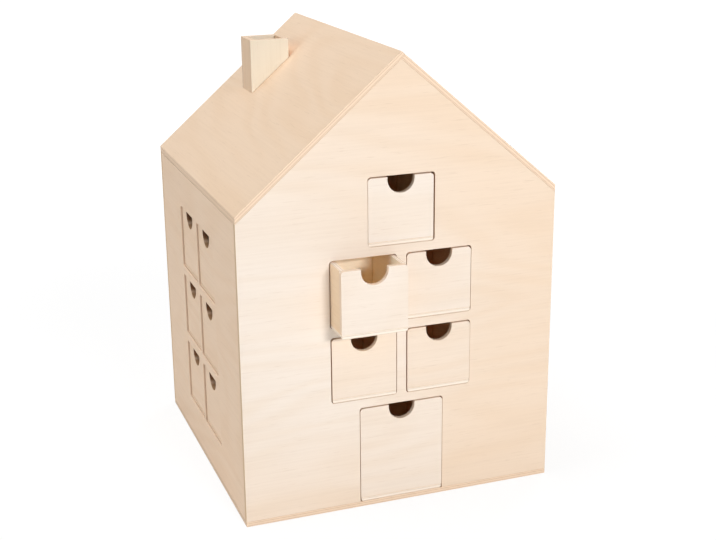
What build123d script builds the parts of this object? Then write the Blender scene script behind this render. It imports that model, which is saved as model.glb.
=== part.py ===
from build123d import *
import os
from math import atan2, cos, hypot, sin

# A wooden advent calendar: a plywood house with six drawers in each of its four walls.
# Millimetres, +Z up. The origin is the middle of the underside, and the front gable faces -Y.

# House shell
house_width = 250  # over the side walls
house_depth = 250  # over the gables
roof_rise = 108  # from the eaves to the ridge
base_thickness = 4
wall_thickness = 4
roof_thickness = 4

# Openings in the walls
opening_width = 52.5
opening_height = 52.3
opening_corner = 2.5
door_width = 68  # opening of the tall drawer at the foot of a gable
door_height = 78.6
rail = 7  # wood between two rows
gable_mullion = 7.5  # wood between the two columns of a gable
side_mullion = 3.5  # wood between the two columns of a side wall
side_first_sill = 34.6  # lowest sill of a side wall
side_head = 30.2  # wood over the highest opening of a side wall, to the roof's underside

# Drawers
drawer_board = 4  # face, sides and back
drawer_bottom = 3
tray_edge = 1  # chamfer along the top of a drawer's sides
notch_width = 21
notch_straight = 2  # straight flanks above the half circle of the finger notch
pull_out = 24  # how far the upper left drawer of the front stands open
side_recess = 1.3  # how far the closed drawers of a side wall stand behind its face

# Chimney on the left slope
chimney_width = 32  # across the house
chimney_depth = 29  # along the ridge
chimney_rise = 15.4  # rim above the roof, on the side of the ridge
chimney_offset = 46.5  # its middle, from the ridge
chimney_setback = 61.5  # its middle, behind the middle of the house
chimney_thickness = 4

# Boards inside the house
inner_board = 4
guide_height = 24  # rails and stops of the drawer at the top of a gable

# Clearances
glue_line = 0.1  # between boards that are glued together
lap_gap = 0.1  # round a half lap
seat_gap = 0.2  # under a drawer
side_gap = 0.65  # at each side of a drawer
top_gap = 1  # over a drawer
stop_gap = 0.5  # behind a closed drawer

# Roof planes, with their faces up
pitch = atan2(roof_rise, house_width / 2)
roof_drop = (roof_thickness + glue_line) / cos(pitch)
side_head_height = side_first_sill + 3 * opening_height + 2 * rail + side_head
eave_height = side_head_height + roof_drop
ridge_height = eave_height + roof_rise
ridge = (0, 0, ridge_height)
left_slope = Plane(origin=ridge, x_dir=(0, -1, 0), z_dir=(-sin(pitch), 0, cos(pitch)))
right_slope = Plane(origin=ridge, x_dir=(0, 1, 0), z_dir=(sin(pitch), 0, cos(pitch)))
under_roof = -roof_thickness - glue_line

# Wall planes on the outer faces: x to the right as seen from outside, y up, z outwards
half_width = house_width / 2
half_depth = house_depth / 2
front = Plane(origin=(0, -half_depth, 0), x_dir=(1, 0, 0), z_dir=(0, -1, 0))
back = Plane(origin=(0, half_depth, 0), x_dir=(-1, 0, 0), z_dir=(0, 1, 0))
left = Plane(origin=(-half_width, 0, 0), x_dir=(0, -1, 0), z_dir=(-1, 0, 0))
right = Plane(origin=(half_width, 0, 0), x_dir=(0, 1, 0), z_dir=(1, 0, 0))

# Rows and columns
row_pitch = opening_height + rail
door_sill = base_thickness
lower_sill = door_sill + door_height + rail
upper_sill = lower_sill + row_pitch
top_sill = upper_sill + row_pitch
side_sills = [side_first_sill + row * row_pitch for row in range(3)]
gable_column = (opening_width + gable_mullion) / 2
side_column = (opening_width + side_mullion) / 2

# Each opening: place, middle, sill, width, height
gable_openings = [
    ("top", 0, top_sill, opening_width, opening_height),
    ("upper_left", -gable_column, upper_sill, opening_width, opening_height),
    ("upper_right", gable_column, upper_sill, opening_width, opening_height),
    ("lower_left", -gable_column, lower_sill, opening_width, opening_height),
    ("lower_right", gable_column, lower_sill, opening_width, opening_height),
    ("door", 0, door_sill, door_width, door_height),
]
side_openings = [
    (f"{row}_{column}", middle, sill, opening_width, opening_height)
    for row, sill in zip(("lower", "middle", "upper"), side_sills)
    for column, middle in (("left", -side_column), ("right", side_column))
]
open_drawers = {"front_upper_left_drawer": pull_out}

# Inner faces of the partitions stand in line with the outermost jambs
gable_jamb = gable_column + opening_width / 2
side_jamb = side_column + opening_width / 2
gable_bay = half_depth - side_jamb - inner_board
side_bay = half_width - gable_jamb - inner_board
inside_width = house_width - 2 * (wall_thickness + glue_line)
inside_depth = house_depth - 2 * (wall_thickness + glue_line)
bay_front = wall_thickness + glue_line
wall_foot = base_thickness + glue_line
attic_underside = top_sill - inner_board
partition_top = attic_underside - glue_line
partition_height = partition_top - wall_foot
lap_height = wall_foot + partition_height / 2


def save(name, pieces):
    """Write one node: a single piece, or a group of separate pieces."""
    node = pieces[0] if len(pieces) == 1 else Compound(children=pieces)
    node.label = name
    export_step(node, f"parts/{name}.step")


def cut_openings(openings):
    """Cut a wall's openings from its sketch; one that stands on the base runs out through the foot."""
    for place, middle, sill, width, height in openings:
        overrun = 2 * opening_corner if sill <= base_thickness else 0
        with Locations((middle, sill + (height - overrun) / 2)):
            RectangleRounded(width, height + overrun, opening_corner, mode=Mode.SUBTRACT)


def gable(wall):
    """A full-width gable, with its top edges under the roof panels."""
    shoulder = eave_height - roof_drop
    with BuildPart() as panel:
        with BuildSketch(wall):
            with BuildLine():
                Polyline(
                    (-half_width, wall_foot),
                    (half_width, wall_foot),
                    (half_width, shoulder),
                    (0, shoulder + roof_rise),
                    (-half_width, shoulder),
                    close=True,
                )
            make_face()
            cut_openings(gable_openings)
        extrude(amount=-wall_thickness)
    return panel.part


def side_wall(wall, slope):
    """A side wall between the gables, bevelled along the top to the pitch of the roof."""
    with BuildPart() as panel:
        with BuildSketch(wall):
            with Locations((0, wall_foot)):
                Rectangle(inside_depth, eave_height - wall_foot, align=(Align.CENTER, Align.MIN))
            cut_openings(side_openings)
        extrude(amount=-wall_thickness)
        split(bisect_by=slope.offset(under_roof), keep=Keep.BOTTOM)
    return panel.part


def roof_panel(slope, wall, ridge_cut):
    """A roof panel, trimmed upright at the eaves and to the other slope at the ridge."""
    spare = 2 * roof_thickness
    length = hypot(half_width, roof_rise) + 2 * spare
    with BuildPart() as panel:
        with BuildSketch(slope):
            with Locations((0, spare)):
                Rectangle(house_depth, length, align=(Align.CENTER, Align.MAX))
        extrude(amount=-roof_thickness)
        split(bisect_by=wall, keep=Keep.BOTTOM)
        split(bisect_by=ridge_cut, keep=Keep.BOTTOM)
    return panel.part


def chimney_board(width, depth, across, along):
    """An upright board of the chimney, with its foot cut to the left slope."""
    rim = ridge_height - (chimney_offset - chimney_width / 2) * roof_rise / half_width + chimney_rise
    with BuildPart() as board:
        with BuildSketch(Plane.XY.offset(side_head_height)):
            with Locations((across - chimney_offset, along + chimney_setback)):
                Rectangle(width, depth)
        extrude(amount=rim - side_head_height)
        split(bisect_by=left_slope.offset(glue_line), keep=Keep.TOP)
    return board.part


def partition(face, length, slot_middle, slot_low, slot_high):
    """A partition with two half-lap slots, one at each side of its middle."""
    with BuildPart() as board:
        with BuildSketch(face):
            with Locations((0, wall_foot)):
                Rectangle(length, partition_height, align=(Align.CENTER, Align.MIN))
            with Locations((-slot_middle, slot_low), (slot_middle, slot_low)):
                Rectangle(
                    inner_board + 2 * lap_gap,
                    slot_high - slot_low,
                    align=(Align.CENTER, Align.MIN),
                    mode=Mode.SUBTRACT,
                )
        extrude(amount=inner_board)
    return board.part


def bay_board(wall, start, end, low, high, near, far):
    """A straight board behind a wall: across from start to end, up from low to high, in from near to far."""
    with BuildPart() as board:
        with BuildSketch(wall.offset(-near)):
            with Locations((start, low)):
                Rectangle(end - start, high - low, align=(Align.MIN, Align.MIN))
        extrude(amount=near - far)
    return board.part


def gable_shelves(wall):
    """Two shelves, the dividers between the columns and the two guides of the tall drawer."""
    reach = gable_jamb - glue_line
    end = gable_bay - glue_line
    boards = []
    for sill in (lower_sill, upper_sill):
        boards.append(bay_board(wall, -reach, reach, sill - inner_board, sill, bay_front, end))
    for sill, ceiling in ((lower_sill, upper_sill - inner_board), (upper_sill, attic_underside)):
        foot = sill + glue_line
        head = ceiling - glue_line
        boards.append(bay_board(wall, -gable_mullion / 2, gable_mullion / 2, foot, head, bay_front, end))
    door_jamb = door_width / 2
    guide_top = lower_sill - inner_board - glue_line
    for start in (-door_jamb - inner_board, door_jamb):
        boards.append(bay_board(wall, start, start + inner_board, wall_foot, guide_top, bay_front, end))
    return boards


def side_shelves(wall):
    """A shelf under each row of a side wall, and the dividers between the columns."""
    reach = side_jamb - glue_line
    end = side_bay - glue_line
    ceilings = [sill - inner_board for sill in side_sills[1:]] + [partition_top]
    boards = []
    for sill, ceiling in zip(side_sills, ceilings):
        foot = sill + glue_line
        head = ceiling - glue_line
        boards.append(bay_board(wall, -reach, reach, sill - inner_board, sill, bay_front, end))
        boards.append(bay_board(wall, -side_mullion / 2, side_mullion / 2, foot, head, bay_front, end))
    return boards


def attic_guides(wall):
    """Two rails and a stop on the attic floor, for the drawer at the top of a gable."""
    jamb = opening_width / 2
    outer = jamb + inner_board
    foot = top_sill + glue_line
    head = foot + guide_height
    end = gable_bay - glue_line
    return [
        bay_board(wall, -outer, -jamb, foot, head, bay_front, end),
        bay_board(wall, jamb, outer, foot, head, bay_front, end),
        bay_board(wall, -outer, outer, foot, head, gable_bay, gable_bay + inner_board),
    ]


def drawer_face(plane, middle, width, low, high):
    """A drawer's face, with rounded top corners and a U-shaped finger notch in its top edge."""
    with BuildPart() as face:
        with BuildSketch(plane):
            with Locations((middle, low)):
                Rectangle(width, high - low, align=(Align.CENTER, Align.MIN))
            fillet(vertices().group_by(Axis.Y)[-1], opening_corner - seat_gap)
            with Locations((middle, high)):
                Rectangle(
                    notch_width,
                    notch_straight,
                    align=(Align.CENTER, Align.MAX),
                    mode=Mode.SUBTRACT,
                )
            with Locations((middle, high - notch_straight)):
                Circle(notch_width / 2, mode=Mode.SUBTRACT)
        extrude(amount=-drawer_board)
    return face.part


def drawer_floor(plane, middle, width, low, depth):
    """A drawer's bottom board, chamfered below to pass the rounded corners of its opening."""
    with BuildPart() as floor:
        with BuildSketch(plane):
            with Locations((middle, low)):
                Rectangle(width, drawer_bottom, align=(Align.CENTER, Align.MIN))
            chamfer(vertices().group_by(Axis.Y)[0], opening_corner - side_gap)
        extrude(amount=-depth)
    return floor.part


def drawer_side(plane, middle, low, high, length, outside):
    """A side board of a drawer, chamfered along the top of its outer face."""
    with BuildPart() as side:
        with BuildSketch(plane):
            with Locations((middle, low)):
                Rectangle(drawer_board, high - low, align=(Align.CENTER, Align.MIN))
            chamfer(vertices().group_by(Axis.Y)[-1].sort_by(Axis.X)[outside], tray_edge)
        extrude(amount=-length)
    return side.part


def drawer(wall, opening, bay_depth, recess, pull):
    """The face and the four tray boards of one drawer, set back in its wall or pulled out of it."""
    place, middle, sill, opening_across, opening_up = opening
    plane = wall.offset(pull - recess)
    width = opening_across - 2 * side_gap
    depth = bay_depth - recess - stop_gap
    low = sill + seat_gap
    high = sill + opening_up - top_gap
    foot = low + drawer_bottom + glue_line
    behind_face = drawer_board + glue_line
    side_middle = (width - drawer_board) / 2
    back_reach = width / 2 - drawer_board - glue_line
    side_plane = plane.offset(-behind_face)
    side_length = depth - behind_face
    face = drawer_face(plane, middle, width, foot, high)
    tray = [
        drawer_floor(plane, middle, width, low, depth),
        drawer_side(side_plane, middle - side_middle, foot, high, side_length, 0),
        drawer_side(side_plane, middle + side_middle, foot, high, side_length, -1),
        bay_board(plane, middle - back_reach, middle + back_reach, foot, high, depth - drawer_board, depth),
    ]
    return face, tray


os.makedirs("parts", exist_ok=True)

# Base and shell
with BuildPart() as base_board:
    with BuildSketch():
        Rectangle(house_width, house_depth)
    extrude(amount=base_thickness)
save("base_board", [base_board.part])
save("front_wall", [gable(front)])
save("back_wall", [gable(back)])
save("left_wall", [side_wall(left, left_slope)])
save("right_wall", [side_wall(right, right_slope)])
save("left_roof_panel", [roof_panel(left_slope, left, right_slope)])
save("right_roof_panel", [roof_panel(right_slope, right, left_slope.offset(under_roof))])

# Chimney: two boards across the full width, two between them
end_place = (chimney_depth - chimney_thickness) / 2
flank_place = (chimney_width - chimney_thickness) / 2
flank_length = chimney_depth - 2 * (chimney_thickness + glue_line)
save(
    "chimney",
    [
        chimney_board(chimney_width, chimney_thickness, 0, -end_place),
        chimney_board(chimney_width, chimney_thickness, 0, end_place),
        chimney_board(chimney_thickness, flank_length, -flank_place, 0),
        chimney_board(chimney_thickness, flank_length, flank_place, 0),
    ],
)

# Partitions: the lengthwise pair is slotted from above, the crosswise pair from below
side_lap = side_jamb + inner_board / 2
gable_lap = gable_jamb + inner_board / 2
partitions = []
for start in (-gable_jamb - inner_board, gable_jamb):
    lengthwise = Plane(origin=(start, 0, 0), x_dir=(0, 1, 0), z_dir=(1, 0, 0))
    partitions.append(partition(lengthwise, inside_depth, side_lap, lap_height, partition_top))
for start in (-side_jamb, side_jamb + inner_board):
    crosswise = Plane(origin=(0, start, 0), x_dir=(1, 0, 0), z_dir=(0, -1, 0))
    partitions.append(partition(crosswise, inside_width, gable_lap, wall_foot, lap_height + lap_gap))
save("partition_grid", partitions)

# Shelves of the four bays
save("gable_bay_shelves", gable_shelves(front) + gable_shelves(back))
save("side_bay_shelves", side_shelves(left) + side_shelves(right))

# Attic floor on the partitions, with the guides of the two top drawers
with BuildPart() as attic_floor:
    with BuildSketch(Plane.XY.offset(attic_underside)):
        Rectangle(2 * (gable_jamb + inner_board), inside_depth)
    extrude(amount=inner_board)
save("attic_drawer_rack", [attic_floor.part] + attic_guides(front) + attic_guides(back))

# Twenty-four drawers
walls = [
    ("front", front, gable_openings, gable_bay, 0),
    ("back", back, gable_openings, gable_bay, 0),
    ("left", left, side_openings, side_bay, side_recess),
    ("right", right, side_openings, side_bay, side_recess),
]
for wall_name, wall, openings, bay_depth, recess in walls:
    for opening in openings:
        name = f"{wall_name}_{opening[0]}_drawer"
        face, tray = drawer(wall, opening, bay_depth, recess, open_drawers.get(name, 0))
        save(f"{name}_face", [face])
        save(f"{name}_tray", tray)
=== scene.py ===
"""Looks of a plywood advent calendar: boards with eased edges and ply layers, and a white studio."""

from math import pi, radians

import bpy
import numpy as np
from bpy.props import FloatProperty, FloatVectorProperty, PointerProperty
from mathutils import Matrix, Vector
from mathutils.geometry import delaunay_2d_cdt


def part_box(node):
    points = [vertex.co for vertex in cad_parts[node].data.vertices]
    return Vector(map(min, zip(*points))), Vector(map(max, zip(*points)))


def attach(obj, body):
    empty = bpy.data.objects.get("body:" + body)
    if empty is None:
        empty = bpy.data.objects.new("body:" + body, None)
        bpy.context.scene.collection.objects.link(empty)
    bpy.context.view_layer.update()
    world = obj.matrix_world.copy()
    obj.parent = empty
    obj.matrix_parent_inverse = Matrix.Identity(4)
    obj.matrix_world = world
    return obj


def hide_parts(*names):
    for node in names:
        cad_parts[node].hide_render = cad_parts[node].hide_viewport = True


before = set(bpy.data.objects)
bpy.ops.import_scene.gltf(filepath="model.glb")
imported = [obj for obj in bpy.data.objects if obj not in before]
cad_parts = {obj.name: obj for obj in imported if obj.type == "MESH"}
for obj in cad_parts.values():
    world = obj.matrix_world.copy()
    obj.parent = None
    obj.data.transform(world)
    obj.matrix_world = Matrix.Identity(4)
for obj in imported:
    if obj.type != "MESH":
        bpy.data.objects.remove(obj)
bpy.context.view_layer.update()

bl_info = {
    "name": "Plywood advent calendar",
    "version": (1, 0, 0),
    "blender": (4, 5, 0),
    "location": "View3D > Sidebar > Calendar",
    "description": "Dresses the house, its drawers and the studio round them",
    "category": "Object",
}

# Directions of each side as rows: across as seen from outside, up, and out of the wall
VIEWS = {
    "front": ((1, 0, 0), (0, 0, 1), (0, -1, 0)),
    "back": ((-1, 0, 0), (0, 0, 1), (0, 1, 0)),
    "left": ((0, -1, 0), (0, 0, 1), (-1, 0, 0)),
    "right": ((0, 1, 0), (0, 0, 1), (1, 0, 0)),
    "top": ((1, 0, 0), (0, 1, 0), (0, 0, 1)),
}
ACROSS, UP, OUT = np.eye(3)
EASE_STEPS = 4  # rings on an eased edge, after the first
CORNER_STEPS = 8  # steps on a rounded corner
NOTCH_STEPS = 18  # steps on a corner of a drawer's face, and on a quarter of its notch
SAME_POINT = 1e-7  # points nearer than this are one
ALL_TRIANGLES = 0  # kind of triangulation that fills the hull of its points
POINT_ARRAYS = ("points", "normals", "board", "cut", "tone")  # what a board holds for each of its points

HOUSE = "house"
DRAWERS = sorted(name.removesuffix("_face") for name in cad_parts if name.endswith("_drawer_face"))
INNER_NODES = ("partition_grid", "gable_bay_shelves", "side_bay_shelves", "attic_drawer_rack")
PULLED_DRAWER = "front_upper_left_drawer"  # stands open at rest, and its inside is painted paler than the others', for the light that reaches into it
# How far a closed front drawer rests to the right of its opening's middle, and how much wider its face is
# to each side, in metres
FITS = {
    "front_top_drawer": (-0.00042, 0.0),
    "front_upper_right_drawer": (0.0001, 0.00025),
    "front_lower_left_drawer": (0.0002, 0.0),
    "front_lower_right_drawer": (0.0004, 0.00015),
    "front_door_drawer": (0.0001, 0.0003),
}
# How far the faces of the front drawers go from pale to warm wood: painted light like the front gable's,
# palest at the top and fading towards the lower right
PAINTED_FACE_LIGHT = {
    "top": 0.0,
    "upper_left": 0.1,
    "upper_right": 0.25,
    "lower_left": 0.45,
    "lower_right": 0.6,
    "door": 0.25,
}
PAINTED_NOTCH_SHADE = (0.2, 1.0)  # how far a notch's cut edge is painted in shade at its bottom and at its top
PAINTED_LIGHT_CENTRE = (-0.09, -0.125, 0.15)  # Centre of the painted light on the front gable, where its wood is painted palest
PAINTED_LIGHT_REACH = (0.09, 0.24)  # Distances from there at which the painted light starts to fade into the warmer wood and has faded
CLOUD_REACH = 0.08  # how far soft clouds shift those distances
CLOUD_SCALE = (9, 9, 9)  # clouds to the metre

# Seeds choose the stretch of veneer that a board is cut from
HOUSE_SEEDS = {
    "base_board": 1,
    "front_wall": 2,
    "back_wall": 3,
    "left_wall": 4,
    "right_wall": 5,
    "left_roof_panel": 6,
    "right_roof_panel": 7,
}
FIRST_FACE_SEED = 10
FIRST_TRAY_SEED = 40
TRAY_SEED_STEPS = (0, 0.3, 0.5, 0.7)  # for a tray's floor, left side, right side and back
CHIMNEY_END_SEEDS = (71, 72)
CHIMNEY_SIDE_SEEDS = (73, 74)
SEED_STEP = (3.71, 1.93)  # from one seed to the next, along the grain and across it, in metres

# Features of the veneer to the metre, along the grain, across it and through the board
DRIFT_SCALE = (4.5, 24, 1)
RING_SCALE = (2.6, 11, 1)
FIBRE_SCALE = (16, 620, 300)
FLECK_SCALE = (70, 1300, 300)
RING_PHASE = 75.0  # turns the range of the ring field into some twelve growth rings
RING_SHARE = 0.16  # of the rings in the tone, beside the drift
LINE_SHARE = 0.10  # how dark the fibres are
FLECK_SHARE = 0.22  # how dark the flecks are
MARK_COLOUR = (0.42, 0.26, 0.14)  # what fibres and flecks darken to

WANDER_SCALE = (55, 55, 0)  # features to the metre of the glue lines' waves
WANDER_REACH = 0.0004  # how far the glue lines wave, in metres
PORE_SCALE = (1500, 1500, 1500)  # pores to the metre on a cut edge
GLUE_HALF = (0.00006, 0.00026)  # half the width of a glue line, where it is full and where it ends
END_GRAIN_SHARE = 0.45  # of end grain in the plies that show it
EDGE_SHARE = 0.9  # of the edge's own colour over the plies
GLUE_SHARE = 0.45  # how far a glue line shows
FACE_ROUGHNESS = 0.58  # of the boards' faces
ROUGHER_EDGE = 0.4  # how much rougher than its faces a cut edge is

# Width, height and place of each soft box, in metres
LAMPS = {
    "Key": (0.5, 0.16, (0.22, -1.75, 0.78)),
    "Fill": (0.8, 0.8, (-1.8, -0.35, 0.7)),
    "Overhead": (1.0, 1.0, (-0.45, 0.2, 1.9)),
    "Rear": (0.8, 0.8, (1.4, 1.3, 0.9)),
}
LAMP_TARGET = (0, 0, 0.17)  # the middle of the house, in metres
WHITE = (1.0, 1.0, 1.0, 1.0)
FLOOR_REACH = 4.0  # from the middle of the floor to its edges, in metres
FLOOR_GLOW = 1.1  # brightness of the white that the camera sees on the floor
SHADOW_REACH = (0.4, 1.2)  # from where to where on the floor the house's shadow fades out, in metres
MAX_BOUNCES = 24  # of light, in all
DIFFUSE_BOUNCES = 16  # of light, from matt surfaces


def length(label, default, note):
    """A size property in metres."""
    return FloatProperty(name=label, description=note, default=default, min=0, unit="LENGTH", precision=5)


def share(label, default, note):
    """A strength property from 0 to 1."""
    return FloatProperty(name=label, description=note, default=default, min=0, max=1, subtype="FACTOR")


def tint(label, default, note):
    """A colour property, in linear light."""
    return FloatVectorProperty(
        name=label, description=note, default=default, min=0, max=1, size=3, subtype="COLOR"
    )


class CalendarBoards(bpy.types.PropertyGroup):
    """Sizes of the boards that the frame's boxes don't give."""

    ease: length("Eased edge", 0.00025, "Radius of the edges along the faces of the base and the chimney")
    crisp: length("Crisp edge", 0.0002, "Radius of the edges along the faces of walls and drawers")
    arris: length("Sanded corner", 0.0003, "Radius of the sanded corners of a board's outline")
    roof_edge: length("Roof edge", 0.0001, "Radius of the edges along the roof's cut ends")
    roof_arris: length("Roof corner", 0.00012, "Radius of the corners of the roof's section")
    corner: length("Opening corner", 0.0025, "Radius of the corners of an opening")
    face_corner: length("Face corner", 0.0028, "Radius of the top corners of a drawer's face")
    side_gap: length("Side gap", 0.00065, "Between a drawer and each jamb")
    seat_gap: length("Seat gap", 0.0002, "Under a drawer")
    top_gap: length("Top gap", 0.001, "Over a drawer")
    glue_line: length("Glue line", 0.0001, "Between boards that are glued together")
    notch_width: length("Notch width", 0.021, "Width of the finger notch")
    notch_straight: length("Notch flank", 0.002, "Straight flank above the half circle of the notch")
    tray_edge: length("Tray edge", 0.001, "Rounding along the top of a drawer's sides")
    chimney_board: length("Chimney board", 0.004, "Thickness of the chimney's boards")
    core_half: length("Half core", 0.00095, "From the middle of a board to its glue lines")


class CalendarFinishes(bpy.types.PropertyGroup):
    """Colours of the bare wood, piece by piece."""

    # Painted light: the front's pale wood is the walls' wood painted paler and greyer, as it looks in the
    # strong front light, fading to the warm wood away from its brightest place
    pale: tint("Pale wood", (0.885, 0.785, 0.69), "Pale sapwood of the front gable and its drawers")
    warm: tint("Warm wood", (0.865, 0.70, 0.55), "Warmer wood that the pale wood drifts to")
    wall: tint("Walls", (0.945, 0.73, 0.545), "Side walls, back gable and their drawers")
    roof: tint("Roof", (0.93, 0.72, 0.535), "Roof panels")
    base: tint("Base", (0.86, 0.69, 0.53), "Base board")
    # Painted light and shade: the chimney's ends and sides are one wood, the ends painted paler as if lit
    # and the sides painted darker as if shaded
    chimney: tint("Chimney ends", (0.80, 0.725, 0.60), "Boards at the front and back of the chimney")
    shaded: tint("Chimney sides", (0.855, 0.648, 0.465), "Boards at the left and right of the chimney")
    tray: tint("Trays", (0.87, 0.685, 0.49), "Drawer trays, and the boards inside the house")
    # Painted light: the open drawer's inside is painted paler than the trays, for the light that bounces
    # into it
    inner: tint("Open drawer", (0.985, 0.905, 0.735), "Inside of the drawer that stands open")
    streak: tint("Streak", (0.94, 0.88, 0.80), "What the darker streaks of the veneer multiply the wood by")
    end_grain: tint("End grain", (0.68, 0.47, 0.29), "Plies that are cut across the grain")
    glue: tint("Glue", (0.36, 0.22, 0.12), "Glue lines between the plies")
    # Partly painted shade: a darker colour on the gables' cut edges that deepens the real shade in the gaps
    # round the drawers and under the roof
    painted_gap_shade: tint("Scorched edges", (0.62, 0.42, 0.27), "Cut edges round the gables' openings")
    corner_edge: tint("Corner edges", (0.76, 0.55, 0.35), "Cut edges of the gables at the house's corners")
    # Painted shade: the notches in the recessed faces on the sides and the back are painted dark brown
    # towards their tops, where shade falls
    painted_notch: tint("Burnt notches", (0.09, 0.02, 0.003), "Tops of the notches in the sides and the back")
    jamb: tint("Jambs", (0.88, 0.71, 0.56), "Cut edges of the side walls and of the drawers' faces")
    sawn: tint("Sawn edges", (0.87, 0.67, 0.505), "Cut edges of the roof, the base and the chimney")
    sanded: tint("Sanded edges", (0.95, 0.84, 0.73), "Cut edges of the front drawers' trays")
    figure: share("Figure", 0.35, "Strength of the veneer's broad figure")
    fibre: share("Fibre", 0.55, "Strength of the fine fibres and flecks")


class CalendarStudio(bpy.types.PropertyGroup):
    """Camera, lamps and floor."""

    camera_place: FloatVectorProperty(
        name="Camera",
        description="Where the camera stands",
        default=(-0.33843, -0.97089, 0.48246),
        subtype="TRANSLATION",
        unit="LENGTH",
    )
    camera_turn: FloatVectorProperty(
        name="Camera turn",
        description="How the camera is turned",
        default=(radians(72.107), radians(0.582), radians(-19.970)),
        subtype="EULER",
        unit="ROTATION",
    )
    lens: FloatProperty(name="Lens", description="Focal length", default=65.25, unit="CAMERA")
    ambient: FloatProperty(name="Ambient", description="Light from all round", default=0.2, min=0)
    key: FloatProperty(name="Key", description="Soft box in front", default=19.6, min=0, unit="POWER")
    fill: FloatProperty(name="Fill", description="Soft box at the left", default=6.4, min=0, unit="POWER")
    overhead: FloatProperty(name="Overhead", description="Soft box above", default=16, min=0, unit="POWER")
    rear: FloatProperty(name="Rear", description="Soft box behind", default=14, min=0, unit="POWER")
    floor: tint("Floor", (0.8, 0.8, 0.8), "Colour of the floor")
    floor_shadow: share("Floor shadow", 0.24, "How much of the shadow on the floor the camera sees")


def boards():
    """Sizes of the boards."""
    return bpy.context.scene.calendar_boards


def finishes():
    """Colours of the wood."""
    return bpy.context.scene.calendar_finishes


def studio():
    """Settings of the studio."""
    return bpy.context.scene.calendar_studio


def reach(node, view):
    """Lowest and highest corner of a CAD node, across, up and out as seen in a view."""
    corners = np.array(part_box(node)) @ np.array(VIEWS[view], float).T
    return corners.min(0), corners.max(0)


def rectangle(left, foot, right, head):
    """Corners of an upright rectangle, counter-clockwise from the lower left."""
    return [(left, foot), (right, foot), (right, head), (left, head)]


def outline(corners, radii, steps=CORNER_STEPS):
    """A closed outline with its corners turned into arcs: its points and outward normals.

    With d the way into a corner P, n its normal, f the angle that the way turns by there and s the sign of
    f, the arc of radius r is P - d r tan(|f| / 2) - s r n + s r n(t), where n(t) is n turned by t f and t
    runs from 0 to 1. Where two arcs meet, their common point is kept once.
    """
    corners = np.asarray(corners, float)
    radius = np.broadcast_to(np.asarray(radii, float), len(corners))[:, None]
    way = corners - np.roll(corners, 1, axis=0)
    way /= np.linalg.norm(way, axis=1, keepdims=True)
    onward = np.roll(way, -1, axis=0)
    normal = np.stack([way[:, 1], -way[:, 0]], 1)
    turn = np.arctan2(-(normal * onward).sum(1), (way * onward).sum(1))[:, None]
    angle = turn * np.linspace(0, 1, steps + 1)
    cosine, sine = np.cos(angle)[..., None], np.sin(angle)[..., None]
    normals = normal[:, None] * cosine + way[:, None] * sine
    signed = np.sign(turn) * radius
    centre = corners - way * radius * np.tan(np.abs(turn) / 2) - signed * normal
    points = (centre[:, None] + signed[..., None] * normals).reshape(-1, 2)
    apart = np.linalg.norm(points - np.roll(points, 1, axis=0), axis=1) > SAME_POINT
    return points[apart], normals.reshape(-1, 2)[apart]


def opening(left, foot, right, head, radius):
    """A hole's outline: a rounded rectangle taken clockwise, so that its normals point into the hole."""
    return outline(rectangle(left, foot, right, head)[::-1], radius)


def cap_triangles(points, following):
    """Triangles of a flat face with holes, between the outlines that following runs along.

    Of the triangles between all the points, those count whose middle (x, y) has an odd number of outline
    edges to its right. An edge from (a, b) to (c, d) is one of them if y lies between b and d, and
    x < a + (c - a) (y - b) / (d - b).
    """
    edges = np.stack([np.arange(len(points)), following], 1).tolist()
    found = delaunay_2d_cdt([Vector(p) for p in points], edges, [], ALL_TRIANGLES, SAME_POINT)
    if len(found[3]) != len(points):
        raise ValueError(f"an outline of {len(points)} points meets itself")
    triangles = np.array([source[0] for source in found[3]])[np.array(found[2])]
    x, y = points[triangles].mean(1).T[..., None]
    (start_x, start_y), (end_x, end_y) = points.T, points[following].T
    spans = (start_y > y) != (end_y > y)
    rise = np.where(start_y == end_y, 1, end_y - start_y)
    right = x < start_x + (end_x - start_x) * (y - start_y) / rise
    return triangles[(spans & right).sum(1) % 2 == 1]


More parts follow.
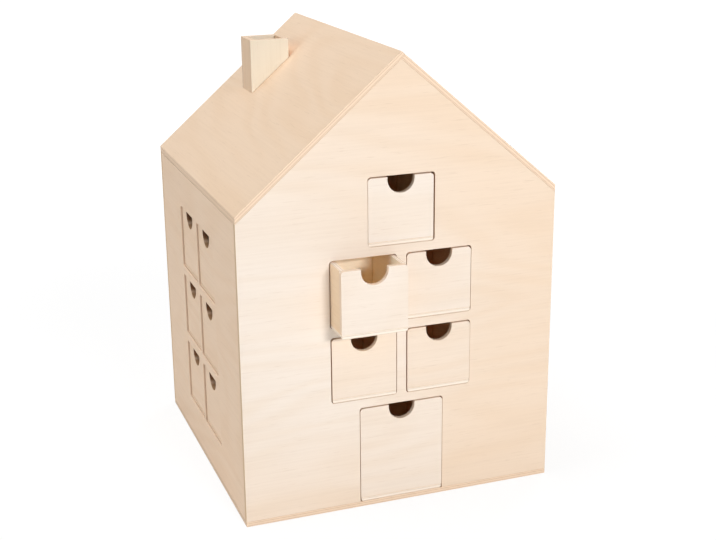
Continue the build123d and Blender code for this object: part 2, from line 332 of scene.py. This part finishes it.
def board(view, outlines, near, far, plies, seed, ease, behind=None, tone=0.0):
    """One board between two flat faces, with eased edges, as arrays in the frame.

    An outline's points p with outward normals n are carried from face to face on rings. At an angle a from
    0 to 90 degrees a ring lies ease (1 - sin a) inside the outline and ease (1 - cos a) under the face, and
    its normal is n sin a + face cos a. The far face has outlines of its own where the board's edge is
    bevelled. The rows of plies run along the grain, across it and through the layers, and a board's own
    coordinates follow them.
    """
    angle = np.linspace(0, pi / 2, EASE_STEPS + 1)[:, None, None]
    rings, normals = [], []
    for loops, face, way in ((outlines, near, 1), (behind or outlines, far, -1)):
        points, sides = (np.concatenate(part) for part in zip(*loops))
        flat = points - sides * ease * (1 - np.sin(angle))
        column = flat.shape[:2] + (1,)
        depth = np.broadcast_to(face - way * ease * (1 - np.cos(angle)), column)
        facing = np.broadcast_to(way * np.cos(angle), column)
        rings.append(np.concatenate([flat, depth], 2)[::way])
        normals.append(np.concatenate([sides * np.sin(angle), facing], 2)[::way])
    rings, normals = np.concatenate(rings), np.concatenate(normals).reshape(-1, 3)
    count = rings.shape[1]
    ends = np.cumsum([len(points) for points, sides in outlines])
    here = np.arange(count)
    following = here + 1
    following[ends - 1] = np.concatenate([[0], ends[:-1]])
    row = np.arange(len(rings) - 1)[:, None] * count
    quads = np.stack([row + here, row + count + here, row + count + following, row + following], -1)
    cap = cap_triangles(rings[0, :, :2], following)
    local = rings.reshape(-1, 3)
    own = local @ np.array(plies).T
    own[:, 2] -= (own[:, 2].min() + own[:, 2].max()) / 2
    own[:, :2] += seed * np.array(SEED_STEP)
    turn = np.array(VIEWS[view], float)
    return {
        "points": local @ turn,
        "normals": normals @ turn,
        "quads": quads.reshape(-1, 4),
        "triangles": np.concatenate([cap, cap[:, ::-1] + (len(rings) - 1) * count]),
        "board": own,
        "cut": np.abs(normals @ np.array(plies).T),
        "tone": np.full(len(local), tone),
    }


def piece(node, made, body, material):
    """Makes one object from a list of boards, in the place of a CAD node."""
    starts = np.cumsum([0] + [len(part["points"]) for part in made[:-1]])
    faces = []
    for part, start in zip(made, starts):
        faces += (part["quads"] + start).tolist() + (part["triangles"] + start).tolist()
    joined = {key: np.concatenate([part[key] for part in made]) for key in POINT_ARRAYS}
    mesh = bpy.data.meshes.new(f"{node}_ply")
    mesh.from_pydata(joined["points"], [], faces, shade_flat=False)
    for key in ("board", "cut"):
        attribute = mesh.attributes.new(key, "FLOAT_VECTOR", "POINT")
        attribute.data.foreach_set("vector", joined[key].astype(np.float32).ravel())
    attribute = mesh.attributes.new("tone", "FLOAT", "POINT")
    attribute.data.foreach_set("value", joined["tone"].astype(np.float32))
    mesh.normals_split_custom_set_from_vertices(joined["normals"])
    mesh.materials.append(material)
    made_piece = bpy.data.objects.new(f"{node}_ply", mesh)
    bpy.context.scene.collection.objects.link(made_piece)
    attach(made_piece, body)
    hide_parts(node)


def add_node(tree, kind, inputs=None, **settings):
    """A shader node with its settings made and its inputs filled, each with a value or a link."""
    made = tree.nodes.new(kind)
    for name, value in settings.items():
        setattr(made, name, value)
    for key, value in (inputs or {}).items():
        if isinstance(value, bpy.types.NodeSocket):
            tree.links.new(value, made.inputs[key])
        else:
            made.inputs[key].default_value = value
    return made


def calculate(tree, operation, *values):
    """The result of a Math node."""
    return add_node(tree, "ShaderNodeMath", dict(enumerate(values)), operation=operation).outputs[0]


def ramp(tree, value, low, high, to_low=0.0, to_high=1.0):
    """A value mapped smoothly from one range to another."""
    inputs = {"Value": value, "From Min": low, "From Max": high, "To Min": to_low, "To Max": to_high}
    return add_node(tree, "ShaderNodeMapRange", inputs, interpolation_type="SMOOTHSTEP").outputs[0]


def blend(tree, factor, first, second, blend_type="MIX"):
    """The colour of a Mix node."""
    inputs = {"Factor": factor, 6: first, 7: second}
    return add_node(tree, "ShaderNodeMix", inputs, data_type="RGBA", blend_type=blend_type).outputs[2]


def noise(tree, vector, stretch, detail, distortion=0.0):
    """Noise with so many features to the metre along the grain, across it and through the board."""
    place = add_node(tree, "ShaderNodeMapping", {"Vector": vector, "Scale": stretch}).outputs[0]
    inputs = {"Vector": place, "Scale": 1.0, "Detail": detail, "Roughness": 0.55, "Distortion": distortion}
    return add_node(tree, "ShaderNodeTexNoise", inputs).outputs["Fac"]


def new_group(name, inputs, outputs):
    """An empty shader node group with its sockets: the tree and its two end nodes."""
    tree = bpy.data.node_groups.new(name, "ShaderNodeTree")
    for way, sockets in (("INPUT", inputs), ("OUTPUT", outputs)):
        for label, kind in sockets.items():
            tree.interface.new_socket(label, in_out=way, socket_type=f"NodeSocket{kind}")
    return tree, tree.nodes.new("NodeGroupInput").outputs, tree.nodes.new("NodeGroupOutput").inputs


def veneer_group():
    """Bare veneer: a drift of tone, contour lines of the growth rings, fine fibres and small flecks."""
    name = "Veneer"
    if name in bpy.data.node_groups:
        return bpy.data.node_groups[name]
    tree, given, result = new_group(
        name,
        {"Board": "Vector", "Wood": "Color", "Streak": "Color", "Figure": "Float", "Fibre": "Float"},
        {"Color": "Color", "Height": "Float"},
    )
    drift = noise(tree, given["Board"], DRIFT_SCALE, detail=2.0, distortion=0.5)
    field = noise(tree, given["Board"], RING_SCALE, detail=1.5, distortion=0.3)
    rings = calculate(tree, "SINE", calculate(tree, "MULTIPLY", field, RING_PHASE))
    tone = calculate(tree, "MULTIPLY_ADD", rings, RING_SHARE, drift)
    streaks = calculate(tree, "MULTIPLY", ramp(tree, tone, low=0.3, high=0.85), given["Figure"])
    streaked = blend(tree, 1.0, given["Wood"], given["Streak"], "MULTIPLY")
    colour = blend(tree, streaks, given["Wood"], streaked)
    fibres = noise(tree, given["Board"], FIBRE_SCALE, detail=3.0)
    flecks = ramp(tree, noise(tree, given["Board"], FLECK_SCALE, detail=1.0), low=0.66, high=0.76)
    lines = calculate(tree, "MULTIPLY", ramp(tree, fibres, low=0.35, high=0.75), LINE_SHARE)
    marks = calculate(tree, "MULTIPLY_ADD", flecks, FLECK_SHARE, lines)
    dark = calculate(tree, "MULTIPLY", marks, given["Fibre"])
    colour = blend(tree, dark, colour, rgba(MARK_COLOUR))
    tree.links.new(colour, result["Color"])
    tree.links.new(calculate(tree, "SUBTRACT", fibres, flecks), result["Height"])
    return tree


def ply_group():
    """Cut edges of plywood: two face plies and a core at right angles to them, between dark glue lines."""
    name = "Ply edge"
    if name in bpy.data.node_groups:
        return bpy.data.node_groups[name]
    tree, given, result = new_group(
        name,
        {
            "Board": "Vector",
            "Cut": "Vector",
            "Face": "Color",
            "End Grain": "Color",
            "Glue": "Color",
            "Edge": "Color",
            "Half Core": "Float",
        },
        {"Color": "Color", "Roughness": "Float"},
    )
    through = add_node(tree, "ShaderNodeSeparateXYZ", {0: given["Board"]}).outputs[2]
    cut = add_node(tree, "ShaderNodeSeparateXYZ", {0: given["Cut"]}).outputs
    wander = noise(tree, given["Board"], WANDER_SCALE, detail=2.0)
    depth = calculate(tree, "ABSOLUTE", calculate(tree, "MULTIPLY_ADD", wander, WANDER_REACH, through))
    past_core = calculate(tree, "SUBTRACT", depth, given["Half Core"])
    core = ramp(tree, past_core, -GLUE_HALF[0], GLUE_HALF[0], to_low=1.0, to_high=0.0)
    line = ramp(tree, calculate(tree, "ABSOLUTE", past_core), *GLUE_HALF, to_low=1.0, to_high=0.0)
    ends = add_node(tree, "ShaderNodeMix", {"Factor": core, 2: cut[0], 3: cut[1]}).outputs[0]
    grain = noise(tree, given["Board"], PORE_SCALE, detail=2.0)
    pores = ramp(tree, grain, low=0.3, high=0.75, to_high=0.55)
    fibre_ends = blend(tree, pores, given["End Grain"], given["Face"])
    edge_colour = blend(tree, calculate(tree, "MULTIPLY", ends, END_GRAIN_SHARE), given["Face"], fibre_ends)
    edge_colour = blend(tree, EDGE_SHARE, edge_colour, given["Edge"])
    edge_colour = blend(tree, calculate(tree, "MULTIPLY", line, GLUE_SHARE), edge_colour, given["Glue"])
    edge = ramp(tree, calculate(tree, "MAXIMUM", cut[0], cut[1]), low=0.6, high=0.9)
    tree.links.new(blend(tree, edge, given["Face"], edge_colour), result["Color"])
    roughness = calculate(tree, "MULTIPLY_ADD", edge, ROUGHER_EDGE, FACE_ROUGHNESS)
    tree.links.new(roughness, result["Roughness"])
    return tree


def new_material(name):
    """An empty node material and its Principled shader."""
    material = bpy.data.materials.new(name)
    material.use_nodes = True
    shader = material.node_tree.nodes["Principled BSDF"].inputs
    shader["Specular IOR Level"].default_value = 0.1
    return material, material.node_tree, shader


def use_group(tree, group, inputs):
    """A node group placed in a tree with its inputs filled: its outputs."""
    return add_node(tree, "ShaderNodeGroup", inputs, node_tree=group).outputs


def rgba(colour):
    """An opaque colour."""
    return (*colour, 1.0)


def veneer(tree, place, wood):
    """The veneer group with the shared strengths, on a wood colour or a link to one."""
    look = finishes()
    return use_group(
        tree,
        veneer_group(),
        {
            "Board": place,
            "Wood": wood,
            "Streak": rgba(look.streak),
            "Figure": look.figure,
            "Fibre": look.fibre,
        },
    )


def raise_grain(tree, shader, height):
    """Lets the fibres stand a little in the surface."""
    bump = {"Strength": 0.12, "Distance": 0.0002, "Height": height}
    tree.links.new(add_node(tree, "ShaderNodeBump", bump).outputs[0], shader["Normal"])


def board_tone(tree):
    """A board's tone, from its own attribute."""
    return add_node(tree, "ShaderNodeAttribute", attribute_name="tone").outputs["Fac"]


def painted_light_tone(tree):
    """Painted light on the front gable: how warm its wood is, which grows in soft clouds with the distance
    from the palest, most brightly painted place.
    """
    spot = add_node(tree, "ShaderNodeTexCoord").outputs["Object"]
    ends = {0: spot, 1: PAINTED_LIGHT_CENTRE}
    away = add_node(tree, "ShaderNodeVectorMath", ends, operation="DISTANCE").outputs["Value"]
    cloud = noise(tree, spot, CLOUD_SCALE, detail=2.0)
    return ramp(tree, calculate(tree, "MULTIPLY_ADD", cloud, CLOUD_REACH, away), *PAINTED_LIGHT_REACH)


def toned_edge(tree, edge, second):
    """Colour of a cut edge that changes with the board's tone: edge (second / edge) ** tone."""
    ratio = np.array(second) / np.array(edge)
    change = add_node(tree, "ShaderNodeGamma", {"Color": rgba(ratio), "Gamma": board_tone(tree)}).outputs[0]
    return blend(tree, 1.0, rgba(edge), change, "MULTIPLY")


def plywood(name, wood, edge, warm=None, tone=board_tone, second_edge=None):
    """Plywood of one wood colour, or two that a tone runs between, with one or two edge colours."""
    if name in bpy.data.materials:
        return bpy.data.materials[name]
    look = finishes()
    material, tree, shader = new_material(name)
    place = add_node(tree, "ShaderNodeAttribute", attribute_name="board").outputs["Vector"]
    cut = add_node(tree, "ShaderNodeAttribute", attribute_name="cut").outputs["Vector"]
    colour = rgba(wood) if warm is None else blend(tree, tone(tree), rgba(wood), rgba(warm))
    faces = veneer(tree, place, colour)
    edges = use_group(
        tree,
        ply_group(),
        {
            "Board": place,
            "Cut": cut,
            "Face": faces["Color"],
            "End Grain": rgba(look.end_grain),
            "Glue": rgba(look.glue),
            "Edge": rgba(edge) if second_edge is None else toned_edge(tree, edge, second_edge),
            "Half Core": boards().core_half,
        },
    )
    tree.links.new(edges["Color"], shader["Base Color"])
    tree.links.new(edges["Roughness"], shader["Roughness"])
    raise_grain(tree, shader, faces["Height"])
    return material


def inner_plywood(name, wood):
    """Plywood of the boards inside the house, with its grain across the house."""
    material, tree, shader = new_material(name)
    place = add_node(tree, "ShaderNodeTexCoord").outputs["Object"]
    faces = veneer(tree, place, rgba(wood))
    tree.links.new(faces["Color"], shader["Base Color"])
    roughness = ramp(tree, faces["Height"], low=0.3, high=0.7, to_low=FACE_ROUGHNESS, to_high=0.68)
    tree.links.new(roughness, shader["Roughness"])
    raise_grain(tree, shader, faces["Height"])
    return material


def wall_of(drawer):
    """The wall that a drawer's name starts with."""
    return drawer.split("_")[0]


def drawer_reach(drawer, part):
    """Lowest and highest corner of a drawer's face or tray in its wall's view, as it fits the opening."""
    aside, wider = FITS.get(drawer, (0.0, 0.0))
    low, high = reach(f"{drawer}_{part}", wall_of(drawer))
    if part == "face":
        low, high = low - wider * ACROSS, high + wider * ACROSS
    return low + aside * ACROSS, high + aside * ACROSS


def drawer_openings(wall):
    """Each opening of a wall: left, foot, right and head, from its drawer and the gaps."""
    size = boards()
    found = {}
    for drawer in DRAWERS:
        if wall_of(drawer) == wall:
            low = reach(f"{drawer}_tray", wall)[0]
            high = reach(f"{drawer}_face", wall)[1]
            left, right = low[0] - size.side_gap, high[0] + size.side_gap
            found[drawer] = (left, low[1] - size.seat_gap, right, high[1] + size.top_gap)
    return found


def roof_lines():
    """Half the house's width, the gables' shoulder and apex, and the slope of the roof."""
    high = reach("front_wall", "front")[1]
    half, apex = high[0], high[1]
    low, top = reach("left_wall", "left")
    thickness = top[2] - low[2]
    shoulder = (top[1] * half - thickness * apex) / (half - thickness)
    return half, shoulder, apex, (apex - shoulder) / half


def gable(wall):
    """A gable: five corners, a doorway up from its foot and five openings.

    Its tone is 0 at the corners of the house and 1 elsewhere, where its cut edges are painted darker to
    deepen the shade in the gaps.
    """
    size = boards()
    half, shoulder, apex, _ = roof_lines()
    node = f"{wall}_wall"
    low, high = reach(node, wall)
    openings = drawer_openings(wall)
    left, _, right, head = openings.pop(f"{wall}_door_drawer")
    corners = [
        (-half, low[1]),
        (left, low[1]),
        (left, head),
        (right, head),
        (right, low[1]),
        (half, low[1]),
        (half, shoulder),
        (0, apex),
        (-half, shoulder),
    ]
    radii = [size.corner if corner[1] == head else size.arris for corner in corners]
    loops = [outline(corners, radii)] + [opening(*edges, size.corner) for edges in openings.values()]
    made = board(wall, loops, high[2], low[2], (ACROSS, UP, OUT), HOUSE_SEEDS[node], size.crisp)
    made["tone"] = (np.abs(made["points"][:, 0]) < half - size.arris).astype(float)
    return made


def side_wall(wall):
    """A side wall with six openings, bevelled along the top, so that its inner face is the higher one."""
    size = boards()
    shoulder = roof_lines()[1]
    node = f"{wall}_wall"
    low, high = reach(node, wall)
    holes = [opening(*edges, size.corner) for edges in drawer_openings(wall).values()]
    outer = [outline(rectangle(low[0], low[1], high[0], shoulder), size.arris)] + holes
    inner = [outline(rectangle(low[0], low[1], high[0], high[1]), size.arris)] + holes
    return board(wall, outer, high[2], low[2], (ACROSS, UP, OUT), HOUSE_SEEDS[node], size.crisp, inner)


def roof_panel(side):
    """A roof panel's section carried from gable to gable; the left one laps over the right at the ridge."""
    size = boards()
    half, _, _, slope = roof_lines()
    low, high = reach("left_roof_panel", "front")
    ridge = high[1]
    eave = ridge - slope * half
    drop = eave - low[1]
    lean = np.hypot(1, slope)
    lap = drop + size.glue_line * lean
    if side == "left":
        corners = [(0, ridge), (-half, eave), (-half, low[1]), (drop / (2 * slope), ridge - drop / 2)]
        plies = (OUT, (1 / lean, slope / lean, 0), (-slope / lean, 1 / lean, 0))
    else:
        corners = [
            (half, low[1]),
            (half, eave),
            (lap / (2 * slope), ridge - lap / 2),
            ((lap - drop) / (2 * slope), ridge - (drop + lap) / 2),
        ]
        plies = (OUT, (-1 / lean, slope / lean, 0), (slope / lean, 1 / lean, 0))
    section = [outline(corners, size.roof_arris)]
    seed = HOUSE_SEEDS[f"{side}_roof_panel"]
    return board("front", section, high[2], low[2], plies, seed, size.roof_edge)


def chimney_boards():
    """Two boards across the chimney's full width and two between them, with feet cut to the roof."""
    size = boards()
    slope = roof_lines()[3]
    low, high = reach("chimney", "front")
    left, right, rim = low[0], high[0], high[1]
    thick = size.chimney_board
    plies = (UP, ACROSS, OUT)

    def foot(across):
        return low[1] + slope * (across - left)

    made = []
    ends = [(left, foot(left)), (right, foot(right)), (right, rim), (left, rim)]
    for seed, near in zip(CHIMNEY_END_SEEDS, (high[2], low[2] + thick)):
        section = [outline(ends, size.arris)]
        made.append(board("front", section, near, near - thick, plies, seed, size.ease))
    start, end = reach("chimney", "left")
    inset = thick + size.glue_line
    for seed, across in zip(CHIMNEY_SIDE_SEEDS, (left, right - thick)):
        outer, inner = (
            [outline(rectangle(start[0] + inset, foot(x), end[0] - inset, rim), size.arris)]
            for x in (across, across + thick)
        )
        # The side boards get tone 1, the chimney's painted shade
        made.append(
            board("left", outer, -across, -across - thick, plies, seed, size.ease, inner, tone=1.0)
        )
    return made


def drawer_face(drawer, seed):
    """A drawer's face: rounded at its top corners, with a half circle between short flanks as its notch.

    Its tone is the front wood's painted light on the front, and says how far the notch is painted in shade
    on the other walls.
    """
    size = boards()
    wall = wall_of(drawer)
    low, high = drawer_reach(drawer, "face")
    middle, half = (low[0] + high[0]) / 2, size.notch_width / 2
    bottom = high[1] - size.notch_straight - half
    corners = [
        (low[0], low[1]),
        (high[0], low[1]),
        (high[0], high[1]),
        (middle + half, high[1]),
        (middle + half, bottom),
        (middle - half, bottom),
        (middle - half, high[1]),
        (low[0], high[1]),
    ]
    notch_radii = [size.arris, half, half, size.arris]
    radii = [size.arris, size.arris, size.face_corner, *notch_radii, size.face_corner]
    loops = [outline(corners, radii, NOTCH_STEPS)]
    made = board(wall, loops, high[2], low[2], (ACROSS, UP, OUT), seed, size.crisp)
    across, up = (made["points"] @ np.array(VIEWS[wall][:2], float).T).T
    in_notch = (np.abs(across - middle) < half + size.arris) & (up > bottom - size.arris)
    # Painted shade in the notch, growing from its bottom to its top
    notch_shade = np.interp(up, [bottom, high[1]], PAINTED_NOTCH_SHADE)
    place = drawer.removeprefix(f"{wall}_").removesuffix("_drawer")
    made["tone"] = np.full(len(up), PAINTED_FACE_LIGHT[place]) if wall == "front" else in_notch * notch_shade
    return made


def drawer_tray(drawer, seed):
    """A drawer's bottom board, with two sides and a back that stand on it behind the face.

    The tone is 1 inside the drawer that stands open, where its wood is painted paler for the light that
    reaches in, and 0 elsewhere.
    """
    size = boards()
    wall = wall_of(drawer)
    low, high = drawer_reach(drawer, "tray")
    face_low, face_high = drawer_reach(drawer, "face")
    thick = face_high[2] - face_low[2]
    inset = thick + size.glue_line
    foot, head = face_low[1], high[1]
    floor_corner = size.corner - size.side_gap
    floor_radii = [floor_corner, floor_corner, size.arris, size.arris]
    floor = outline(rectangle(low[0], low[1], high[0], foot - size.glue_line), floor_radii)
    left_radii = [size.arris, size.arris, size.arris, size.tray_edge]
    right_radii = [size.arris, size.arris, size.tray_edge, size.arris]
    left = outline(rectangle(low[0], foot, low[0] + thick, head), left_radii)
    right = outline(rectangle(high[0] - thick, foot, high[0], head), right_radii)
    back = outline(rectangle(low[0] + inset, foot, high[0] - inset, head), size.arris)
    behind_face = face_low[2] - size.glue_line
    # Painted light inside the open drawer
    inside = float(drawer == PULLED_DRAWER)
    seeds = [seed + step for step in TRAY_SEED_STEPS]
    made = [
        board(wall, [floor], high[2], low[2], (OUT, ACROSS, UP), seeds[0], size.crisp, tone=inside),
        board(wall, [left], behind_face, low[2], (OUT, UP, ACROSS), seeds[1], size.crisp),
        board(wall, [right], behind_face, low[2], (OUT, UP, ACROSS), seeds[2], size.crisp),
        board(wall, [back], low[2] + thick, low[2], (ACROSS, UP, OUT), seeds[3], size.crisp, tone=inside),
    ]
    for side in made[1:3]:
        across = side["points"] @ np.array(VIEWS[wall][0], float)
        side["tone"] = inside * ((across > low[0] + thick / 2) & (across < high[0] - thick / 2))
    return made


class CALENDAR_OT_base_board(bpy.types.Operator):
    """Make the base board"""

    bl_idname = "calendar.base_board"
    bl_label = "Base board"

    def execute(self, context):
        look, size = finishes(), boards()
        node = "base_board"
        low, high = reach(node, "top")
        plan = outline(rectangle(low[0], low[1], high[0], high[1]), size.arris)
        made = board("top", [plan], high[2], low[2], (ACROSS, UP, OUT), HOUSE_SEEDS[node], size.ease)
        piece(node, [made], HOUSE, plywood("Base plywood", look.base, look.sawn))
        return {"FINISHED"}


class CALENDAR_OT_gables(bpy.types.Operator):
    """Make the front and back gables"""

    bl_idname = "calendar.gables"
    bl_label = "Gables"

    def execute(self, context):
        look = finishes()
        # Painted light on the front gable: pale wood round its brightest place, fading to warm wood
        front = plywood(
            "Front gable plywood", look.pale, look.corner_edge, look.warm, painted_light_tone, look.painted_gap_shade
        )
        piece("front_wall", [gable("front")], HOUSE, front)
        # Painted shade on both gables' cut edges away from the corners
        back = plywood("Back gable plywood", look.wall, look.corner_edge, second_edge=look.painted_gap_shade)
        piece("back_wall", [gable("back")], HOUSE, back)
        return {"FINISHED"}


class CALENDAR_OT_side_walls(bpy.types.Operator):
    """Make the left and right walls"""

    bl_idname = "calendar.side_walls"
    bl_label = "Side walls"

    def execute(self, context):
        look = finishes()
        material = plywood("Side wall plywood", look.wall, look.jamb)
        for wall in ("left", "right"):
            piece(f"{wall}_wall", [side_wall(wall)], HOUSE, material)
        return {"FINISHED"}


class CALENDAR_OT_roof(bpy.types.Operator):
    """Make the two roof panels"""

    bl_idname = "calendar.roof"
    bl_label = "Roof"

    def execute(self, context):
        look = finishes()
        material = plywood("Roof plywood", look.roof, look.sawn)
        for side in ("left", "right"):
            piece(f"{side}_roof_panel", [roof_panel(side)], HOUSE, material)
        return {"FINISHED"}


class CALENDAR_OT_chimney(bpy.types.Operator):
    """Make the chimney"""

    bl_idname = "calendar.chimney"
    bl_label = "Chimney"

    def execute(self, context):
        look = finishes()
        # Painted light and shade: pale lit ends, darker shaded sides
        material = plywood("Chimney plywood", look.chimney, look.sawn, look.shaded)
        piece("chimney", chimney_boards(), HOUSE, material)
        return {"FINISHED"}


class CALENDAR_OT_drawer_faces(bpy.types.Operator):
    """Make the faces of the twenty-four drawers"""

    bl_idname = "calendar.drawer_faces"
    bl_label = "Drawer faces"

    def execute(self, context):
        look = finishes()
        # Painted light on the front drawers' faces: pale wood fading to warm, by each face's tone
        front_material = plywood("Front face plywood", look.pale, look.jamb, look.warm)
        # Painted shade at the tops of the side and back notches
        other_material = plywood("Other face plywood", look.wall, look.jamb, second_edge=look.painted_notch)
        for seed, drawer in enumerate(DRAWERS, start=FIRST_FACE_SEED):
            material = front_material if wall_of(drawer) == "front" else other_material
            piece(f"{drawer}_face", [drawer_face(drawer, seed)], drawer, material)
        return {"FINISHED"}


class CALENDAR_OT_drawer_trays(bpy.types.Operator):
    """Make the trays of the twenty-four drawers"""

    bl_idname = "calendar.drawer_trays"
    bl_label = "Drawer trays"

    def execute(self, context):
        look = finishes()
        # The front trays' tone paints light inside the open drawer
        front_material = plywood("Front tray plywood", look.tray, look.sanded, look.inner)
        other_material = plywood("Tray plywood", look.tray, look.wall)
        for seed, drawer in enumerate(DRAWERS, start=FIRST_TRAY_SEED):
            material = front_material if wall_of(drawer) == "front" else other_material
            piece(f"{drawer}_tray", drawer_tray(drawer, seed), drawer, material)
        return {"FINISHED"}


class CALENDAR_OT_inner_boards(bpy.types.Operator):
    """Give the boards inside the house their finish"""

    bl_idname = "calendar.inner_boards"
    bl_label = "Inner boards"

    def execute(self, context):
        material = inner_plywood("Inner plywood", finishes().tray)
        for node in INNER_NODES:
            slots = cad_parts[node].data.materials
            slots.clear()
            slots.append(material)
        return {"FINISHED"}


def soft_box(name, power, width, height, place):
    """A soft lamp at a place, turned to the house."""
    light = bpy.data.lights.new(name, "AREA")
    light.energy = power
    light.shape = "RECTANGLE"
    light.size = width
    light.size_y = height
    lamp = bpy.data.objects.new(name, light)
    lamp.location = place
    lamp.rotation_euler = (Vector(LAMP_TARGET) - Vector(place)).to_track_quat("-Z", "Y").to_euler()
    bpy.context.scene.collection.objects.link(lamp)


def seen_rays(tree):
    """1 for rays that show the studio itself: from the camera, or by way of gloss."""
    rays = add_node(tree, "ShaderNodeLightPath").outputs
    return calculate(tree, "MAXIMUM", rays["Is Camera Ray"], rays["Is Glossy Ray"])


def white_world(ambient):
    """Even light from all round, behind which the camera sees plain white."""
    world = bpy.data.worlds.new("Studio")
    world.use_nodes = True
    tree = world.node_tree
    tree.nodes.clear()
    light = add_node(tree, "ShaderNodeBackground", {"Color": WHITE, "Strength": ambient}).outputs[0]
    seen = add_node(tree, "ShaderNodeBackground", {"Color": WHITE, "Strength": 1.0}).outputs[0]
    mixed = add_node(tree, "ShaderNodeMixShader", {0: seen_rays(tree), 1: light, 2: seen}).outputs[0]
    add_node(tree, "ShaderNodeOutputWorld", {"Surface": mixed})
    return world


def floor_material(colour, shadow):
    """A pale floor that the camera sees as white, with a faint shadow round the house."""
    material = bpy.data.materials.new("Studio floor")
    material.use_nodes = True
    tree = material.node_tree
    tree.nodes.clear()
    lit = add_node(tree, "ShaderNodeBsdfDiffuse", {"Color": rgba(colour)}).outputs[0]
    white = add_node(tree, "ShaderNodeEmission", {"Color": WHITE, "Strength": FLOOR_GLOW}).outputs[0]
    spot = add_node(tree, "ShaderNodeTexCoord").outputs["Object"]
    away = add_node(tree, "ShaderNodeVectorMath", {0: spot}, operation="LENGTH").outputs["Value"]
    bare = ramp(tree, away, *SHADOW_REACH, to_low=1 - shadow)
    amount = calculate(tree, "MULTIPLY", seen_rays(tree), bare)
    mixed = add_node(tree, "ShaderNodeMixShader", {0: amount, 1: lit, 2: white}).outputs[0]
    add_node(tree, "ShaderNodeOutputMaterial", {"Surface": mixed})
    return material


class CALENDAR_OT_studio(bpy.types.Operator):
    """Set up the floor, the lamps and the camera"""

    bl_idname = "calendar.studio"
    bl_label = "Studio"

    def execute(self, context):
        scene, rig = context.scene, studio()
        corners = np.array([(-1, -1, 0), (1, -1, 0), (1, 1, 0), (-1, 1, 0)]) * FLOOR_REACH
        mesh = bpy.data.meshes.new("studio_floor")
        mesh.from_pydata(corners, [], [(0, 1, 2, 3)])
        mesh.materials.append(floor_material(rig.floor, rig.floor_shadow))
        floor = bpy.data.objects.new("studio_floor", mesh)
        scene.collection.objects.link(floor)
        scene.world = white_world(rig.ambient)
        for name, (width, height, place) in LAMPS.items():
            soft_box(name, getattr(rig, name.lower()), width, height, place)
        camera = bpy.data.cameras.new("Camera")
        camera.lens = rig.lens
        viewer = bpy.data.objects.new("Camera", camera)
        viewer.location = rig.camera_place
        viewer.rotation_euler = rig.camera_turn
        scene.collection.objects.link(viewer)
        scene.camera = viewer
        scene.view_settings.view_transform = "Standard"
        # Light has to go to and fro in a drawer to brighten its inside
        scene.cycles.max_bounces = MAX_BOUNCES
        scene.cycles.diffuse_bounces = DIFFUSE_BOUNCES
        return {"FINISHED"}


class CALENDAR_PT_panel(bpy.types.Panel):
    """Lists the calendar's pieces, sizes and finishes"""

    bl_idname = "CALENDAR_PT_panel"
    bl_label = "Advent calendar"
    bl_space_type = "VIEW_3D"
    bl_region_type = "UI"
    bl_category = "Calendar"

    def draw(self, context):
        column = self.layout.column()
        for operator in OPERATORS:
            column.operator(operator.bl_idname)
        for group in (boards(), finishes(), studio()):
            for name in type(group).__annotations__:
                column.prop(group, name)


GROUPS = {
    "calendar_boards": CalendarBoards,
    "calendar_finishes": CalendarFinishes,
    "calendar_studio": CalendarStudio,
}
OPERATORS = (
    CALENDAR_OT_base_board,
    CALENDAR_OT_gables,
    CALENDAR_OT_side_walls,
    CALENDAR_OT_roof,
    CALENDAR_OT_chimney,
    CALENDAR_OT_drawer_faces,
    CALENDAR_OT_drawer_trays,
    CALENDAR_OT_inner_boards,
    CALENDAR_OT_studio,
)


def register():
    for made in (*GROUPS.values(), *OPERATORS, CALENDAR_PT_panel):
        bpy.utils.register_class(made)
    for name, group in GROUPS.items():
        setattr(bpy.types.Scene, name, PointerProperty(type=group))


def unregister():
    for name in GROUPS:
        delattr(bpy.types.Scene, name)
    for made in (CALENDAR_PT_panel, *reversed(OPERATORS), *reversed(GROUPS.values())):
        bpy.utils.unregister_class(made)


def main():
    """Makes every piece and the studio."""
    register()
    for operator in OPERATORS:
        group, name = operator.bl_idname.split(".")
        getattr(getattr(bpy.ops, group), name)()


if __name__ == "__main__":
    main()
